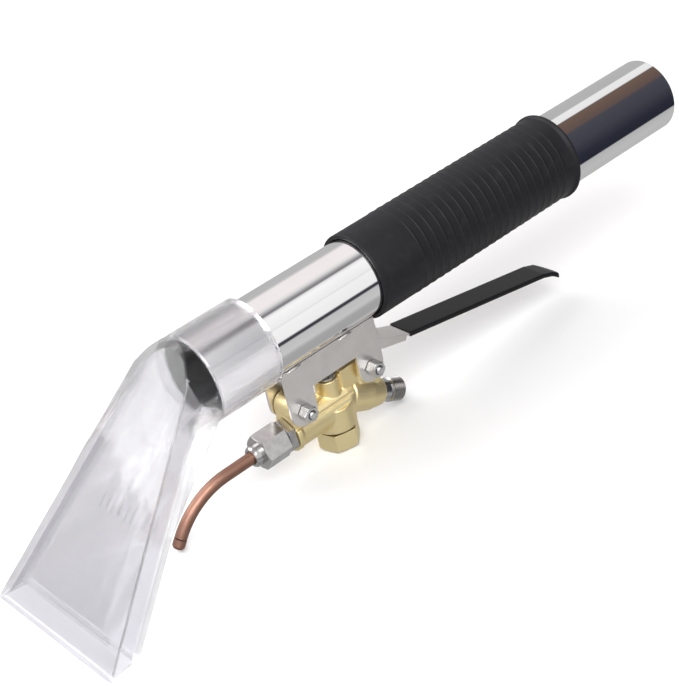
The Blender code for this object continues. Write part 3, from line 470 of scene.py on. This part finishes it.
valve = {"voxel": 0.00032, "passes": 6, "capEdge": 0.0002, "fittingEdge": 0.00035, "copperEdge": 0.0002}
newPiece("valveBody", remade(copyForm("valve_body"), valve["voxel"], valve["passes"]),
         "wand", "cast_brass", "valve_body", sharp=60)
newPiece("valveCap", soften(copyForm("valve_cap"), valve["capEdge"], 25),
         "wand", "cast_brass", "valve_cap")

# crest, rootFrom and rootTo are shares of one thread's pitch
nipple = {"end": (0, -0.20735, -0.06279), "slope": radians(25), "length": 0.0134, "radius": 0.0060,
          "root": 0.0048, "neck": 0.0054, "shank": 0.0042, "shankLength": 0.0078, "bore": 0.0019,
          "threads": 6, "threadLength": 0.0080, "crest": 0.20, "rootFrom": 0.45, "rootTo": 0.75,
          "boreChamfer": 0.0012, "tipChamfer": 0.0006, "tipFlat": 0.0004, "runout": 0.0009,
          "seat": 0.0003, "steps": 72}
nippleProfile = [(nipple["bore"], nipple["length"] - nipple["boreChamfer"]),
                 (nipple["bore"] + nipple["boreChamfer"], nipple["length"]),
                 (nipple["radius"] - nipple["tipChamfer"], nipple["length"])]
threadPitch = nipple["threadLength"] / nipple["threads"]
for i in range(nipple["threads"]):
    start = nipple["length"] - nipple["tipFlat"] - threadPitch * (i + 0.1)
    nippleProfile += [(nipple["radius"], start),
                      (nipple["radius"], start - threadPitch * nipple["crest"]),
                      (nipple["root"], start - threadPitch * nipple["rootFrom"]),
                      (nipple["root"], start - threadPitch * nipple["rootTo"])]
threadEnd = nipple["length"] - nipple["threadLength"] - nipple["runout"]
nippleProfile += [(nipple["neck"], threadEnd), (nipple["neck"], nipple["seat"]),
                  (nipple["shank"], nipple["seat"]), (nipple["shank"], -nipple["shankLength"]),
                  (nipple["bore"], -nipple["shankLength"])]
nippleAxis = (0, cos(nipple["slope"]), -sin(nipple["slope"]))
newPiece("inletNipple", turnedForm(nippleProfile, nipple["end"], nippleAxis, nipple["steps"]),
         "wand", "nickel", "inlet_nipple", sharp=30)

newPiece("fittingBody", soften(copyForm("fitting_body"), valve["fittingEdge"], 25),
         "wand", "nickel", "fitting_body")
newPiece("fittingNut", soften(copyForm("fitting_nut"), valve["fittingEdge"], 25),
         "wand", "nickel", "fitting_nut")
newPiece("copperTube", soften(copyForm("copper_tube"), valve["copperEdge"], 60),
         "wand", "copper", "copper_tube", sharp=50)
newPiece("sprayJet", copyForm("spray_jet"), "wand", "copper", "spray_jet")
print("valve made")


lever = {"edge": 0.0002, "voxel": 0.0003, "passes": 12}
newPiece("leverArm", soften(copyForm("lever_arm"), lever["edge"], 50),
         "lever", "plate_steel", "lever_arm")
newPiece("leverGrip", remade(copyForm("lever_grip"), lever["voxel"], lever["passes"]),
         "lever", "black_vinyl", "lever_grip", sharp=60)
print("lever made")


# the CAD nodes that no piece replaces, all inside the valve
innerLooks = {"cap_seal": "seal_rubber", "stem_seal": "seal_rubber", "poppet_seal": "seal_rubber",
              "ferrule": "cast_brass", "poppet": "cast_brass", "stem_guide": "nickel",
              "valve_stem": "nickel", "valve_spring": "zinc"}
for name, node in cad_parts.items():
    if not node.hide_render:
        node.data.materials.clear()
        node.data.materials.append(finishes[innerLooks.get(name, "nickel")])


floorLook = {"gap": 0.0005, "size": 6, "dark": (0.79, 0.79, 0.79), "light": (0.82, 0.82, 0.82)}
floorForm = bmesh.new()
bmesh.ops.create_grid(floorForm, x_segments=1, y_segments=1, size=floorLook["size"],
                      matrix=Matrix.Translation((0, 0, cadBox[0][2] - floorLook["gap"])))
floor = linked("floor", meshOf("floor", floorForm))
floorFinish = newFinish("paleFloor")
floorColour = floorFinish.mixed(floorFinish.grain(3.0), floorLook["dark"], floorLook["light"])
floor.data.materials.append(floorFinish.set(colour=floorColour, rough=0.7))
floor.visible_glossy = False

# the sky is in bands that run along the tube, with other bands at the hose end
world = bpy.data.worlds.new("studio")
bpy.context.scene.world = world
sky = Finish(world, "Background")
acrossSky, alongSky, upSky = sky.axes("Generated")
around = acrossSky.sum("ARCTAN2", acrossSky, upSky) / (2 * pi) + 0.5      # 0.5 is straight up
frontBands = sky.node("ValToRGB", {"stops": [
    (0.00, 0.50), (0.14, 0.48), (0.34, 0.54), (0.375, (0.97, 0.92, 0.92)), (0.48, (0.99, 0.93, 0.93)),
    (0.505, 0.80), (0.535, (0.30, 0.29, 0.30)), (0.548, (0.20, 0.20, 0.22)), (0.560, 0.90), (0.58, 1.05),
    (0.66, 0.95), (0.665, 0.82), (0.675, 1.0), (0.768, 0.95), (0.776, (0.05, 0.05, 0.065)),
    (0.796, (0.05, 0.05, 0.065)), (0.804, 0.58), (0.875, 0.62), (0.91, 0.42), (0.95, 0.40)]},
    {"Fac": around})
rearBands = sky.node("ValToRGB", {"stops": [
    (0.00, 0.52), (0.14, 0.50), (0.388, 0.50), (0.398, 0.92), (0.465, 0.90), (0.474, (0.10, 0.08, 0.07)),
    (0.485, (0.17, 0.115, 0.09)), (0.575, (0.13, 0.09, 0.08)), (0.595, (0.07, 0.07, 0.09)),
    (0.70, (0.055, 0.055, 0.075)), (0.80, (0.025, 0.027, 0.042)), (0.875, (0.02, 0.022, 0.035)),
    (0.884, 0.50), (0.95, 0.54)]},
    {"Fac": around})
rearShare = sky.stepped(alongSky, 0.55, 0.59)
feed(sky.tree, sky.shader.inputs["Color"], sky.mixed(rearShare, frontBands, rearBands))
sky.shader.inputs["Strength"].default_value = 1.0

lights = {"key": ((0.9, -0.9, 1.5), 1.4, 30), "fill": ((-1.3, -0.9, 1.3), 1.6, 22)}
lightTarget = Vector((0, -0.2, 0))
for name, (spot, size, power) in lights.items():
    lamp = bpy.data.lights.new(name, "AREA")
    lamp.shape = "SQUARE"
    lamp.size = size
    lamp.energy = power
    linked(name, lamp).matrix_world = facing(spot, Vector(spot) - lightTarget)

view = {"spot": (0.5211, -0.5863, 0.3638), "target": (0.0357, -0.2476, 0), "lens": 85.38, "roll": -12.96}
cameraData = bpy.data.cameras.new("camera")
cameraData.lens = view["lens"]
cameraData.sensor_width = 36
cameraData.clip_start = 0.01
camera = linked("camera", cameraData)
aim = (Vector(view["target"]) - Vector(view["spot"])).to_track_quat("-Z", "Y").to_matrix().to_4x4()
camera.matrix_world = Matrix.Translation(view["spot"]) @ aim @ Matrix.Rotation(radians(view["roll"]), 4, "Z")
bpy.context.scene.camera = camera
bpy.context.scene.view_settings.view_transform = "Standard"
print("stage made")
